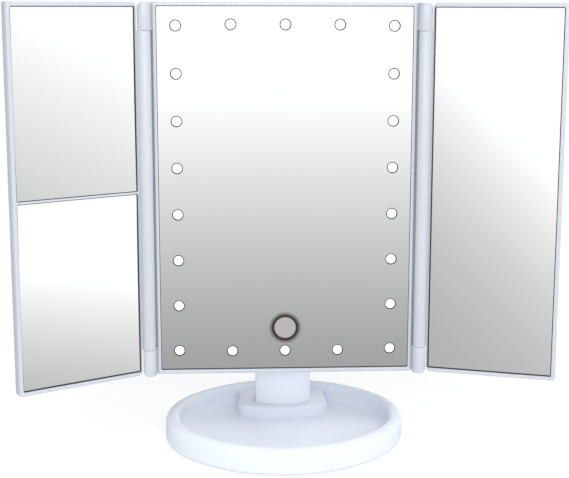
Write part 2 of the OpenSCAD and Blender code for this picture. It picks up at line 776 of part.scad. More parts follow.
module touch_sensor() {
    color("#b87333") union() {
        bar_y([0, touch_z], touch_r, glass_t, glass_t + 0.3);
        bar_y([0, touch_z], 1.5, glass_t + 0.3, web_y + 1);
    }
}

module control_board() {
    color(board_green) union() {
        translate([board_x - board_size[0] / 2, board_y, board_z - board_size[1] / 2])
            cube([board_size[0], board_t, board_size[1]]);
        translate([board_x - 9, board_y + board_t, board_z + 5]) cube([6, 1.2, 6]);
        translate([board_x + 4, board_y + board_t, board_z + 6]) cube([4, 1, 3]);
    }
}

module usb_socket() {
    color(steel) difference() {
        translate([board_x - socket_size[0] / 2, board_y + board_t, board_z - socket_size[2] / 2])
            cube(socket_size);
        translate([board_x - socket_size[0] / 2 + 0.4, board_y + board_t + 1,
            board_z - socket_size[2] / 2 + 0.4])
            cube([socket_size[0] - 0.8, socket_size[1], socket_size[2] - 0.8]);
    }
}

function cell_x(i) = (i - (cells - 1) / 2) * cell_pitch;

module battery_cells() {
    color("#3f6f9f") for (i = [0:cells - 1])
        translate([cell_x(i), cell_y, box_z - cell_l / 2]) {
            cylinder(r = cell_r, h = cell_l - 1);
            cylinder(r = cell_r * 0.38, h = cell_l);
        }
}

module battery_contacts() {
    color(steel) for (i = [0:cells - 1], side = [-1, 1])
        translate([cell_x(i), cell_y, box_z + side * (box_h - contact_t) / 2])
            cube([contact_w, contact_w, contact_t], center = true);
}

module tilt_axle() {
    color(steel) at_tilt() bar_x(axle_r, barrel_l + 2 * (washer_t + ear_t) - 2);
}

module at_tilt() translate([0, axle_back, -axle_drop]) children();

module tilt_washers() {
    color("#c8cacc") at_tilt() for (side = [-1, 1])
        translate([side * (barrel_l / 2 + seat_fit + washer_t / 2), 0, 0]) difference() {
            bar_x(washer_r, washer_t);
            bar_x(axle_r + run_fit, washer_t + 1);
        }
}

module hinge_pins() {
    color(steel) for (side = [-1, 1])
        translate([hinge_x, -hinge_out, 0]) {
            if (side > 0)
                translate([0, 0, frame_z1 - knuckle_h - pin_tube_l])
                    cylinder(r = pin_r, h = pin_tube_l + pin_seat_l);
            else
                translate([0, 0, frame_z0 + knuckle_h - pin_seat_l])
                    cylinder(r = pin_r, h = pin_tube_l + pin_seat_l);
        }
}

// Outline of a wing, drawn in by inset
function wing(inset) = rounded(wing_in + inset, wing_out - inset, frame_z0 + inset,
    frame_z1 - inset, [for (r = [wing_out_r, wing_in_r, wing_in_r, wing_out_r])
        max(r - inset, 0.3)]);

// Outline of a wing's glass pocket from z0 to z1, drawn in by inset
function pocket(z0, z1, inset) = rounded(glass_u0 + inset, glass_u1 - inset, z0 + inset,
    z1 - inset, [for (i = [0:3]) max(1 - inset, 0.3)]);

// Outline of a pane
function glass(p) = rounded(p[0], p[1], p[2], p[3], [0.4, 0.4, 0.4, 0.4]);

// A wing's frame with its hinge tube; pockets lists each pocket's z0, z1 and floor
module wing_frame(pockets) {
    color(white) difference() {
        union() {
            hull() {
                slab(wing(edge_c), wing_face, wing_seam_v);
                slab(wing(0), wing_face + edge_c, wing_seam_v);
            }
            translate([0, 0, tube_z0]) {
                cylinder(r = tube_r, h = tube_z1 - tube_z0);
                linear_extrude(tube_z1 - tube_z0)
                    polygon([[1, 1], [wing_in + 0.5, wing_face + 0.6],
                        [wing_in + 0.5, wing_face + 4], [1, 3]]);
            }
        }
        for (p = pockets)
            slab(pocket(p[0], p[1], 0), wing_face - 5, p[2]);
        slab(wing(wall), pockets[0][2] + wing_floor_t, wing_seam_v + 1);
        translate([0, 0, tube_z0 - 1]) cylinder(r = pin_r + run_fit, h = tube_z1 - tube_z0 + 2);
    }
}

// A wing's back cover, with its edges chamfered
module wing_back() {
    color(shade_white) hull() {
        slab(wing(0), wing_seam_v + seam_gap / 2, wing_back_v - edge_c);
        slab(wing(edge_c), wing_seam_v + seam_gap / 2, wing_back_v);
    }
}

// A slumped magnifying glass with its corners at the flat mirrors' face: a slice of a round
// dish, whose section lies between two arcs about one centre
module dished_glass(p, curve_r) {
    depth = sag(p, curve_r);
    color(mirror_grey) intersection() {
        slab(glass(p), hinge_out - 1, hinge_out + wing_glass_t + depth + 1);
        translate([(p[0] + p[1]) / 2, hinge_out, (p[2] + p[3]) / 2]) rotate([-90, 0, 0])
            rotate_extrude($fn = dish_facets) intersection() {
                translate([0, -1]) square([half_diagonal(p) + 2, depth + wing_glass_t + 2]);
                translate([0, depth - curve_r]) difference() {
                    circle(r = curve_r + wing_glass_t, $fn = arc_facets);
                    circle(r = curve_r, $fn = arc_facets);
                }
            }
    }
}

module left_wing_frame() wing_frame([[upper_z0, glass_z1, dish_floor_v],
    [glass_z0, lower_z1, dish_floor_v]]);
module left_upper_mirror() dished_glass(upper_pane, upper_curve_r);
module left_lower_mirror() dished_glass(lower_pane, lower_curve_r);

// Foam strips behind the edges of the magnifying glasses
module left_wing_tape() {
    color(black) for (p = [[upper_z0, glass_z1], [glass_z0, lower_z1]])
        difference() {
            slab(pocket(p[0], p[1], 0.1), dish_floor_v - wing_tape_t, dish_floor_v);
            slab(pocket(p[0], p[1], tape_w), 0, dish_floor_v + 1);
        }
}

module right_wing_frame() wing_frame([[glass_z0, glass_z1, flat_floor_v]]);
module right_mirror() {
    color(mirror_grey)
        slab(glass(right_pane), hinge_out, hinge_out + wing_glass_t);
}
module right_wing_tape() {
    color(black)
        slab(pocket(glass_z0, glass_z1, 0.1), hinge_out + wing_glass_t, flat_floor_v);
}

base_tray();
base_plate();
base_pad();
base_screws();
neck_front();
neck_back();
neck_screws();
at_head() front_housing();
at_head() rear_cover();
at_head() cover_screws();
at_head() centre_mirror();
at_head() centre_tape();
at_head() lamp_lenses();
at_head() lamp_gaskets();
at_head() lamp_board_left();
at_head() lamp_board_right();
at_head() lamp_board_top();
at_head() lamp_board_bottom();
at_head() lamp_leds();
at_head() touch_sensor();
at_head() control_board();
at_head() usb_socket();
at_head() battery_cells();
at_head() battery_contacts();
at_head() battery_door();
at_head() tilt_axle();
at_head() tilt_washers();
at_head() mirror([1, 0, 0]) hinge_pins();  // left_hinge_pins
at_head() hinge_pins();  // right_hinge_pins
at_left_wing() left_wing_frame();
at_left_wing() wing_back();  // left_wing_back
at_left_wing() left_upper_mirror();
at_left_wing() left_lower_mirror();
at_left_wing() left_wing_tape();
at_right_wing() right_wing_frame();
at_right_wing() wing_back();  // right_wing_back
at_right_wing() right_mirror();
at_right_wing() right_wing_tape();
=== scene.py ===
import json
import math

import bpy
from mathutils import Matrix, Vector


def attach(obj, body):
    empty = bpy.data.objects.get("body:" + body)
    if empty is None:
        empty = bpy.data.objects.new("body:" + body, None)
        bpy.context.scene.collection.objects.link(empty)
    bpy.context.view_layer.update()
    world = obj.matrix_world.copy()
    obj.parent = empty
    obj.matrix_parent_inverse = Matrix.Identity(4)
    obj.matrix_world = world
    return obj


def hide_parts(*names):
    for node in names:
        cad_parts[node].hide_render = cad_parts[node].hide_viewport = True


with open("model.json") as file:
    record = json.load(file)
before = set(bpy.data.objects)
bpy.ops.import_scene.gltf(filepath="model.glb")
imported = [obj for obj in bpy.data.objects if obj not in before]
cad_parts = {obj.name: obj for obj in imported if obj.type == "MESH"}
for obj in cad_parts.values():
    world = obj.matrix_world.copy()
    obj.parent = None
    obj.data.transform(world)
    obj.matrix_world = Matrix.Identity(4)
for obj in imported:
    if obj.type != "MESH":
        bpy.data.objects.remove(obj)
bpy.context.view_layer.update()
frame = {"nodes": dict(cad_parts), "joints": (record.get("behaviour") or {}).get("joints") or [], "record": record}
mm = 0.001


# Node maths: a wire is one output socket, and arithmetic on it adds Math nodes to its tree
class Wire:
    def __init__(self, paint, socket):
        self.paint = paint
        self.socket = socket

    def math(self, operation, a, b=0.0):
        return self.paint.node("ShaderNodeMath", {"operation": operation}, {0: a, 1: b})

    def __add__(self, other):
        return self.math("ADD", self, other)

    def __sub__(self, other):
        return self.math("SUBTRACT", self, other)

    def __rsub__(self, other):
        return self.math("SUBTRACT", other, self)

    def __mul__(self, other):
        return self.math("MULTIPLY", self, other)

    __radd__ = __add__
    __rmul__ = __mul__

    def step(self, low, high, shape="SMOOTHSTEP"):  # 0 at low, 1 at high
        inputs = {"Value": self, "From Min": low, "From Max": high}
        return self.paint.node("ShaderNodeMapRange", {"interpolation_type": shape}, inputs)

    def fall(self, low, high):  # 1 at low, 0 at high
        return 1.0 - self.step(low, high)

    def root(self):
        return self.math("SQRT", self)

    def power(self, exponent):
        return self.math("POWER", self, exponent)

    def ramp(self, stops):  # a colour between the stops, each a place from 0 to 1 and a colour
        return self.paint.node("ShaderNodeValToRGB", {"stops": stops}, {"Fac": self})


class Paint:  # a node tree that is being filled in
    def __init__(self, tree):
        self.tree = tree

    def node(self, kind, settings=None, inputs=None, out=0):
        made = self.tree.nodes.new(kind)
        for key, value in (settings or {}).items():
            if key == "stops":
                self.fillRamp(made.color_ramp, value)
            else:
                setattr(made, key, value)
        for key, value in (inputs or {}).items():
            if isinstance(value, Wire):
                self.tree.links.new(value.socket, made.inputs[key])
            else:
                made.inputs[key].default_value = value
        return Wire(self, made.outputs[out])

    def fillRamp(self, ramp, stops):
        while len(ramp.elements) < len(stops):
            ramp.elements.new(1.0)
        for element, (place, colour) in zip(ramp.elements, stops):
            element.position = place
            element.color = (*colour, 1.0)

    def mix(self, factor, a, b):  # colour a where factor is 0, b where it is 1
        a, b = [c if isinstance(c, Wire) else (*c, 1.0) for c in (a, b)]
        return self.node("ShaderNodeMix", {"data_type": "RGBA"}, {0: factor, 6: a, 7: b}, out=2)

    def split(self, vector):
        parts = self.tree.nodes.new("ShaderNodeSeparateXYZ")
        self.tree.links.new(vector.socket, parts.inputs[0])
        return [Wire(self, parts.outputs[i]) for i in range(3)]


class Finish(Paint):  # a material whose fixed values sit on its Principled shader's own sockets
    def __init__(self, name, fixed):
        self.material = bpy.data.materials.new(name)
        self.material.use_nodes = True
        super().__init__(self.material.node_tree)
        self.shader = self.tree.nodes["Principled BSDF"]
        for socket, value in fixed.items():
            self.shader.inputs[socket].default_value = value
        self.place = self.node("ShaderNodeTexCoord", out="Object")

    def wire(self, socket, value):
        self.tree.links.new(value.socket, self.shader.inputs[socket])

    def noise(self, scale, detail=2.0, place=None):
        inputs = {"Vector": place or self.place, "Scale": scale, "Detail": detail}
        return self.node("ShaderNodeTexNoise", {}, inputs, out="Fac")

    def bump(self, height, distance):
        inputs = {"Height": height, "Distance": distance, "Strength": 1.0}
        self.wire("Normal", self.node("ShaderNodeBump", {}, inputs, out="Normal"))

    def local(self, matrix):  # the Object place seen from another frame
        turn, shift = matrix.to_euler(), matrix.to_translation()
        inputs = {"Vector": self.place, "Location": shift, "Rotation": turn}
        return self.node("ShaderNodeMapping", {"vector_type": "TEXTURE"}, inputs)


# The head's own frame: the middle of the lamps on the glass, +Z along the panel, +Y behind it
head = {
    "axleBack": 25 * mm,  # tilt axis behind the glass
    "axleDrop": 92 * mm,  # tilt axis below the middle of the lamps
    "gridWidth": 135 * mm,  # side rows of lamps, apart
    "gridHeight": 205.6 * mm,  # lowest to highest lamp of a side row
    "bow": 0.7 * mm,  # how far the middle lamps stand outside the corner lamps
    "rows": 8,
    "columns": 5,
    "touchDrop": 88.4 * mm,  # touch spot below the middle of the lamps
}
joints = {j["name"]: j for j in frame["joints"]}
wingAxis = joints["left_wing_hinge"]["axis"]
lean = math.atan2(wingAxis[1], wingAxis[2])
atHead = (Matrix.Translation(joints["head_tilt"]["pos_m"]) @ Matrix.Rotation(-lean, 4, "X")
          @ Matrix.Translation((0, -head["axleBack"], head["axleDrop"])))


def lampPlaces():
    halfW, halfH = head["gridWidth"] / 2, head["gridHeight"] / 2
    rise = head["gridHeight"] / (head["rows"] - 1)
    stride = head["gridWidth"] / (head["columns"] - 1)
    sides = [(x, -halfH + i * rise) for x in (-halfW, halfW) for i in range(head["rows"])]
    ends = [(-halfW + i * stride, side * (halfH + head["bow"]))
            for side in (-1, 1) for i in range(1, head["columns"] - 1)]
    return sides + ends


# A wing's own frame: its hinge axis, u outwards along x, v behind, z up
wings = {
    "left": {"fold": 30.0, "side": -1},
    "right": {"fold": 17.5, "side": 1},
}


def atWing(name):
    wing = wings[name]
    joint = joints[name + "_wing_hinge"]
    toAxis = Matrix.Translation(joint["pos_m"]) @ Matrix.Rotation(-lean, 4, "X")
    return toAxis @ Matrix.Rotation(-wing["side"] * math.radians(wing["fold"]), 4, "Z")


print("frame loaded, the head leans", round(math.degrees(lean), 2), "degrees")


# Modelling helpers
def alone(piece):
    bpy.ops.object.select_all(action="DESELECT")
    piece.select_set(True)
    bpy.context.view_layer.objects.active = piece


def fresh(add, **settings):  # runs an operator that adds a piece, with nothing else selected
    bpy.ops.object.select_all(action="DESELECT")
    add(**settings)
    return bpy.context.object


def named(piece, name):
    piece.name = piece.data.name = name
    return piece


def pick(piece, test):  # opens the piece in edit mode with just the faces that pass the test
    for part in (*piece.data.vertices, *piece.data.edges):
        part.select = False
    for face in piece.data.polygons:
        face.select = test(face)
    alone(piece)
    bpy.ops.object.mode_set(mode="EDIT")
    bpy.ops.mesh.select_mode(type="FACE")


def merged(pieces, name):
    alone(pieces[0])
    for piece in pieces:
        piece.select_set(True)
    bpy.ops.object.join()
    return named(bpy.context.object, name)


def shape(piece, kind, **settings):  # adds a modifier and applies it
    modifier = piece.modifiers.new(kind.lower(), kind)
    for key, value in settings.items():
        setattr(modifier, key, value)
    alone(piece)
    bpy.ops.object.modifier_apply(modifier=modifier.name)


def settle(piece, smooth=32, matrix=Matrix.Identity(4)):  # puts its place into its mesh
    piece.data.transform(matrix @ piece.matrix_world)
    piece.matrix_world = Matrix.Identity(4)
    alone(piece)
    bpy.ops.object.shade_smooth_by_angle(angle=math.radians(smooth))


def dress(piece, material, body, nodes=()):
    piece.data.materials.clear()
    piece.data.materials.append(material)
    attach(piece, body)
    if nodes:
        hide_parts(*nodes)
    return piece


def prism(name, outline, low, high, upper=None):  # a closed block from low to high
    count = len(outline)
    piece = named(fresh(bpy.ops.mesh.primitive_cylinder_add, vertices=count, radius=1, depth=2), name)
    for vertex in piece.data.vertices:
        angle = math.atan2(vertex.co.x, vertex.co.y)  # the primitive starts at +Y and runs clockwise
        ends = (upper or outline, high) if vertex.co.z > 0 else (outline, low)
        vertex.co = (*ends[0][round(angle / (2 * math.pi) * count) % count], ends[1])
    return piece


def terrace(piece, end, steps):  # insets and lifts an end face again and again: (inset, rise)
    reach = end * max(end * v.co.z for v in piece.data.vertices)
    pick(piece, lambda face: face.normal.z * end > 0.9 and abs(face.center.z - reach) < 1e-6)
    for inset, rise in steps:
        bpy.ops.mesh.inset(thickness=inset, depth=rise, use_even_offset=True)
    bpy.ops.object.mode_set(mode="OBJECT")


def curl(radius, start, end, count, turn=1):  # steps round an arc; turn -1 for a hollow one
    angles = [math.radians(start + (end - start) * i / count) for i in range(count + 1)]
    return [(turn * radius * (math.cos(a) - math.cos(b)), radius * (math.sin(b) - math.sin(a)))
            for a, b in zip(angles, angles[1:])]


def arc(centre, radius, start, end, count):
    angles = [math.radians(start + (end - start) * i / count) for i in range(count + 1)]
    return [(centre[0] + radius * math.cos(a), centre[1] + radius * math.sin(a)) for a in angles]


def mouldedCopy(node, name, bevel, segments=2, smooth=32):  # a CAD shell with its edges broken
    piece = bpy.data.objects.new(name, frame["nodes"][node].data.copy())
    bpy.context.scene.collection.objects.link(piece)
    alone(piece)
    bpy.ops.object.mode_set(mode="EDIT")
    bpy.ops.mesh.select_all(action="SELECT")
    bpy.ops.mesh.remove_doubles(threshold=0.002 * mm)
    bpy.ops.mesh.dissolve_limited(angle_limit=math.radians(0.5))
    bpy.ops.object.mode_set(mode="OBJECT")
    shape(piece, "BEVEL", width=bevel, segments=segments, limit_method="ANGLE",
          angle_limit=math.radians(40), use_clamp_overlap=True)
    settle(piece, smooth)
    return piece


# Finishes
def plastic(name, look):
    f = Finish(name, {"Coat Weight": look["coat"], "Coat Roughness": 0.12,
                      "Subsurface Weight": look["glow"], "Subsurface Radius": (1.0, 1.0, 1.0),
                      "Subsurface Scale": 1.5 * mm})
    drift = f.noise(14.0)  # slow change of tone across a moulding
    grain = f.noise(2400.0, 1.0)  # fine spark-eroded texture of the tool
    f.wire("Base Color", f.mix(drift, look["pale"], look["deep"]))
    f.wire("Roughness", drift * 0.08 + grain * 0.05 + look["rough"])
    f.bump(grain + drift * 0.6, look["grain"])
    return f.material


plasticLooks = {
    "framePlastic": {"pale": (0.55, 0.59, 0.64), "deep": (0.525, 0.565, 0.62), "rough": 0.26,
                     "grain": 0.006 * mm, "glow": 0.0, "coat": 0.15},
    "trayPlastic": {"pale": (0.75, 0.795, 0.87), "deep": (0.73, 0.775, 0.85), "rough": 0.34,
                    "grain": 0.008 * mm, "glow": 0.12, "coat": 0.1},
    # the tray's plastic made brighter: painted light that offsets the shade the panel casts on the neck
    "neckPaintedLightPlastic": {"pale": (0.87, 0.905, 0.965), "deep": (0.85, 0.885, 0.95), "rough": 0.34,
                    "grain": 0.008 * mm, "glow": 0.12, "coat": 0.1},
    "backPlastic": {"pale": (0.72, 0.765, 0.83), "deep": (0.69, 0.735, 0.80), "rough": 0.42,
                    "grain": 0.012 * mm, "glow": 0.0, "coat": 0.0},
}
plastics = {name: plastic(name, look) for name, look in plasticLooks.items()}

mirrorCoat = {"pale": (0.985, 0.99, 0.99), "deep": (0.965, 0.972, 0.975), "haze": 0.012, "rough": 0.002}
touchSpot = {
    "reach": 11.0 * mm,  # where the print round the spot has faded out
    "fade": 0.5 * mm,
    "matt": 0.2,  # the spot's extra roughness
    "mattEdge": (6.6 * mm, 7.0 * mm),
    "inner": 6.4,  # radii of the print in mm: the spot, the dark ring, the clear mirror
    "ring": (7.3, 7.9),
    "outer": 10.6,
    "spotTint": (1.0, 0.97, 0.95),
    "ringTint": (0.1, 0.07, 0.07),
    "outerTint": (0.95, 0.95, 0.95),
}


def silvering(name, spot=None):  # the mirror coat, with the faintest wiping marks
    f = Finish(name, {"Metallic": 1.0})
    haze = f.noise(30.0, 3.0)
    tint = f.mix(haze, mirrorCoat["pale"], mirrorCoat["deep"])
    rough = haze * mirrorCoat["haze"] + mirrorCoat["rough"]
    if spot:
        x, _, z = f.split(f.local(atHead))
        rise = z + head["touchDrop"]
        far = (x * x + rise * rise).root()
        rings = [(spot["inner"], spot["spotTint"]), (spot["ring"][0], spot["ringTint"]),
                 (spot["ring"][1], spot["ringTint"]), (spot["outer"], spot["outerTint"])]
        stops = [(radius * mm / spot["reach"], colour) for radius, colour in rings]
        printed = far.step(0.0, spot["reach"], "LINEAR").ramp(stops)
        tint = f.mix(far.step(spot["reach"] - spot["fade"], spot["reach"]), printed, tint)
        rough = rough + far.fall(*spot["mattEdge"]) * spot["matt"]
    f.wire("Base Color", tint)
    f.wire("Roughness", rough)
    return f.material


def grained(name, fixed, pale, deep, rough, bump, scale):
    f = Finish(name, fixed)
    grain = f.noise(scale, 3.0)
    f.wire("Base Color", f.mix(grain, pale, deep))
    f.wire("Roughness", grain * 0.15 + rough)
    f.bump(grain, bump)
    return f.material


def brushed(name, pale, deep, rough):  # turned or drawn metal, with fine lines along the part
    f = Finish(name, {"Metallic": 1.0})
    stretched = f.node("ShaderNodeMapping", {}, {"Vector": f.place, "Scale": (40.0, 900.0, 900.0)})
    lines = f.noise(4.0, 3.0, stretched)
    f.wire("Base Color", f.mix(lines, pale, deep))
    f.wire("Roughness", lines * 0.18 + rough)
    f.bump(lines, 0.004 * mm)
    return f.material


def boardFinish():  # green solder mask over copper tracks
    f = Finish("boardFinish", {"Coat Weight": 0.3, "Coat Roughness": 0.15})
    cells = f.node("ShaderNodeTexVoronoi", {"feature": "DISTANCE_TO_EDGE"},
                   {"Vector": f.place, "Scale": 260.0}, out="Distance")
    tracks = cells.fall(0.06, 0.1)
    tone = f.noise(90.0)
    f.wire("Base Color", f.mix(tracks, f.mix(tone, (0.03, 0.17, 0.08), (0.02, 0.13, 0.06)),
                               (0.07, 0.29, 0.13)))
    f.wire("Roughness", tone * 0.1 + tracks * 0.08 + 0.28)
    f.bump(tracks, 0.03 * mm)
    return f.material


silver = silvering("silverFinish")
touchSilver = silvering("touchSilverFinish", touchSpot)
glassEdge = grained("glassEdge", {"Coat Weight": 0.4}, (0.05, 0.085, 0.075), (0.03, 0.055, 0.05),
                    0.18, 0.01 * mm, 300.0)
# black of the lens gaskets and the glasses' seals, partly painted shade: it stands in for the shade in the gaps
# round lenses and glasses
shadeGasketBlack = grained("shadeGasketBlack", {}, (0.035, 0.04, 0.038), (0.02, 0.024, 0.022), 0.4,
                      0.01 * mm, 900.0)
foam = grained("foamFinish", {}, (0.02, 0.021, 0.024), (0.009, 0.009, 0.011), 0.75, 0.12 * mm, 1600.0)
padFoam = grained("padFoam", {}, (0.05, 0.052, 0.056), (0.02, 0.021, 0.024), 0.8, 0.2 * mm, 1100.0)
platePlastic = grained("platePlastic", {}, (0.66, 0.69, 0.74), (0.6, 0.63, 0.68), 0.45,
                       0.02 * mm, 700.0)
steel = brushed("steelFinish", (0.66, 0.67, 0.69), (0.5, 0.51, 0.53), 0.2)
copper = brushed("copperFinish", (0.8, 0.48, 0.28), (0.62, 0.35, 0.18), 0.25)
lensGlow = grained("lensFinish", {"Emission Color": (1.0, 1.0, 1.0, 1.0), "Emission Strength": 0.45,
                                  "Coat Weight": 0.3}, (0.93, 0.94, 0.94), (0.9, 0.91, 0.91),
                   0.25, 0.004 * mm, 500.0)
phosphor = grained("phosphorFinish", {"Coat Weight": 0.5}, (0.85, 0.72, 0.12), (0.75, 0.6, 0.08),
                   0.3, 0.02 * mm, 1500.0)
washerGrey = grained("washerFinish", {}, (0.6, 0.61, 0.62), (0.5, 0.51, 0.52), 0.4, 0.02 * mm, 900.0)


def sleeveFinish():  # a cell's shrunk sleeve: a coloured body with a bare band near the cap
    f = Finish("sleeveFinish", {"Metallic": 0.6, "Coat Weight": 0.6, "Coat Roughness": 0.08})
    tone = f.noise(60.0)
    cap = f.split(f.place)[2].step(0.161, 0.1615)  # by height above the ground
    f.wire("Base Color", f.mix(cap, f.mix(tone, (0.05, 0.12, 0.26), (0.04, 0.1, 0.22)),
                               (0.6, 0.61, 0.63)))
    f.wire("Roughness", tone * 0.08 + 0.25)
    return f.material


sleeve = sleeveFinish()
board = boardFinish()
print("finishes made")

# CAD nodes that keep their own meshes, each with its finish
carried = {
    "base_plate": platePlastic, "base_pad": padFoam, "base_screws": steel, "neck_screws": steel,
    "centre_tape": foam, "left_wing_tape": foam, "right_wing_tape": foam,
    "lamp_board_left": board, "lamp_board_right": board, "lamp_board_top": board,
    "lamp_board_bottom": board, "control_board": board, "lamp_leds": phosphor,
    "touch_sensor": copper, "usb_socket": steel, "battery_cells": sleeve,
    "battery_contacts": steel, "tilt_axle": steel, "tilt_washers": washerGrey,
    # the lens gaskets' black is also painted shade for the dark rings round the lenses
    "left_hinge_pins": steel, "right_hinge_pins": steel, "lamp_gaskets": shadeGasketBlack,
}
for node, finish in carried.items():
    holder = frame["nodes"][node].data.materials
    holder.clear()
    holder.append(finish)


# Tray: an oval dish with a rounded rim, and the seat that the neck stands in
tray = {
    "width": 155 * mm,
    "depth": 118 * mm,
    "height": 18 * mm,
    "endRadius": 47 * mm,
    "rim": 9 * mm,
    "floor": 7 * mm,
    "outerEdge": 5 * mm,
    "innerEdge": 3.2 * mm,
    "skirt": 4.5 * mm,
    "foot": 0.6 * mm,
    "draft": 0.6 * mm,
    "fillet": 3 * mm,
    "recess": 5.0 * mm,  # inset of the plate's recess
    "ceiling": 4.8 * mm,
    "seatWidth": 55 * mm,
    "seatHeight": 14.5 * mm,
    "seatFront": 16.8 * mm,
    "seatBulge": 5.5 * mm,
    "seatFillet": 2.8 * mm,
    "seatEdge": 1.7 * mm,
    "seatCorner": 5 * mm,
    "seatBack": 3.4 * mm,  # inside the tray's outer edge, under its rim
    "seatRoot": 1.2 * mm,  # how far the seat's block reaches into the floor
    "seatLap": 0.03 * mm,
    "seatDraft": 0.1 * mm,
}


def trayOval(inset, count=26):  # two end arcs and two long arcs that meet them smoothly
    endX = tray["width"] / 2 - tray["endRadius"]
    endRise = tray["depth"] / 2 - tray["endRadius"]
    longY = (endX ** 2 - endRise ** 2) / (2 * endRise)
    half = math.degrees(math.atan2(longY, endX))
    short, wide = tray["endRadius"] - inset, tray["depth"] / 2 + longY - inset
    return (arc((0, -longY), wide, 90, half, count // 2)[:-1]
            + arc((endX, 0), short, half, -half, count)[:-1]
            + arc((0, longY), wide, -half, -180 + half, count)[:-1]
            + arc((-endX, 0), short, -180 + half, -180 - half, count)[:-1]
            + arc((0, -longY), wide, -180 - half, -270, count // 2)[:-1])


def seatOutline(grow):  # a bowed front, straight sides, and a back under the tray's rim
    halfW, bulge = tray["seatWidth"] / 2, tray["seatBulge"]
    bow = (halfW ** 2 + bulge ** 2) / (2 * bulge)
    corner = tray["seatCorner"]
    swing = math.degrees(math.asin((halfW - corner) / (bow - corner)))
    frontY = tray["seatFront"]
    front = arc((0, frontY + bow), bow + grow, 270 - swing, 270 + swing, 16)
    turnX = halfW - corner
    turnY = frontY + bow - (bow - corner) * math.cos(math.radians(swing))
    right = arc((turnX, turnY), corner + grow, 270 + swing, 360, 8)[1:]
    left = [(-x, y) for x, y in reversed(right)]
    oval = trayOval(tray["seatBack"], 60)
    back = [p for p in oval if p[1] > 0 and abs(p[0]) < halfW + grow - 1 * mm]
    back.sort(key=lambda p: -p[0])
    return (left + front + right + back)[::-1]


neck = {
    "width": 37.2 * mm,
    "depth": 16.5 * mm,
    "front": 19 * mm,
    "bow": 33 * mm,
    "corner": 2.5 * mm,
    "slope": -0.1516,  # forwards with height
    "taper": -0.0384,
    "fit": 0.15 * mm,
}


def neckOutline(z):  # the pocket round the neck's foot at height z, in the order that prism takes
    rise = z - tray["seatHeight"]
    halfW = (neck["width"] + neck["taper"] * rise) / 2
    bow, corner, fit = neck["bow"], neck["corner"], neck["fit"]
    frontY = neck["front"] + neck["slope"] * rise
    turnX = halfW - corner
    turnY = frontY + bow - math.sqrt((bow - corner) ** 2 - turnX ** 2)
    swing = math.degrees(math.atan2(turnY - frontY - bow, turnX))
    backY = frontY + neck["depth"] - corner
    side = (arc((turnX, backY), corner + fit, 90, 0, 6)
            + arc((turnX, turnY), corner + fit, 0, swing, 6)
            + arc((0, frontY + bow), bow + fit, swing, -90, 10)[1:])
    return side + [(-x, y) for x, y in reversed(side[:-1])]


def makeTray():
    body = prism("trayBody", trayOval(0), tray["foot"] + tray["skirt"],
                 tray["height"] - tray["outerEdge"])
    wallDrop = tray["height"] - tray["innerEdge"] - tray["floor"] - tray["fillet"]
    crown = tray["rim"] - tray["innerEdge"] - tray["outerEdge"]
    terrace(body, 1, curl(tray["outerEdge"], 0, 90, 8) + [(crown, 0)]
            + curl(tray["innerEdge"], 90, 180, 8) + [(tray["draft"], -wallDrop)]
            + curl(tray["fillet"], 180, 270, 6, -1))
    terrace(body, -1, curl(tray["skirt"], 0, 90, 6)
            + [(tray["recess"] - tray["skirt"], 0), (0, tray["foot"] - tray["ceiling"])])
    seatFoot = tray["floor"] + tray["seatLap"]
    seat = prism("seatBody", seatOutline(tray["seatFillet"]), tray["floor"] - tray["seatRoot"], seatFoot)
    rise = tray["seatHeight"] - seatFoot - tray["seatFillet"] - tray["seatEdge"]
    terrace(seat, 1, curl(tray["seatFillet"], 270, 180, 6, -1) + [(tray["seatDraft"], rise)]
            + curl(tray["seatEdge"], 0, 90, 6))
    shape(body, "BOOLEAN", operation="UNION", object=seat, solver="EXACT")
    foot, above = tray["floor"], tray["height"]
    pocket = prism("neckPocket", neckOutline(foot), foot, above, neckOutline(above))
    shape(body, "BOOLEAN", operation="DIFFERENCE", object=pocket, solver="EXACT")
    bpy.data.objects.remove(seat)
    bpy.data.objects.remove(pocket)
    return body


trayPiece = named(makeTray(), "oval_tray")
settle(trayPiece)
dress(trayPiece, plastics["trayPlastic"], "stand", ["base_tray"])
print("tray made")


# Shells that keep the CAD form, with their seams and edges broken as a moulding's are
shells = {
    "panel_frame": ("front_housing", "framePlastic", "head", 0.35),
    "panel_cover": ("rear_cover", "backPlastic", "head", 0.4),
    "left_wing_shell": ("left_wing_frame", "framePlastic", "left_wing", 0.35),
    "left_wing_lid": ("left_wing_back", "backPlastic", "left_wing", 0.3),
    "right_wing_shell": ("right_wing_frame", "framePlastic", "right_wing", 0.35),
    "right_wing_lid": ("right_wing_back", "backPlastic", "right_wing", 0.3),
    # the neck's shells take the brightened plastic, painted light against the panel's shade
    "neck_face": ("neck_front", "neckPaintedLightPlastic", "stand", 0.3),
    "neck_rear": ("neck_back", "neckPaintedLightPlastic", "stand", 0.3),
}
for name, (node, finish, body, edge) in shells.items():
    slot = next(s["material_slot"] for s in frame["record"]["subparts"] if s["node"] == node)
    dress(mouldedCopy(node, name, edge * mm), plastics[finish], body, [node])
print("shells made")


# Glasses: silvered in front, with dark ground edges
glass = {
    "arris": 0.25 * mm,
    "wingThick": 1.8 * mm,
    "wingFace": 2.5 * mm,  # behind the hinge axis
    "radii": {"upper": 3200 * mm, "lower": 2800 * mm},
    "columns": 24,
    "rows": 34,
}


def silverFaces(piece, front, body, node, face=silver):
    dress(piece, face, body, [node])
    piece.data.materials.append(glassEdge)
    for polygon in piece.data.polygons:
        polygon.material_index = 0 if polygon.normal.dot(front) > 0.97 else 1


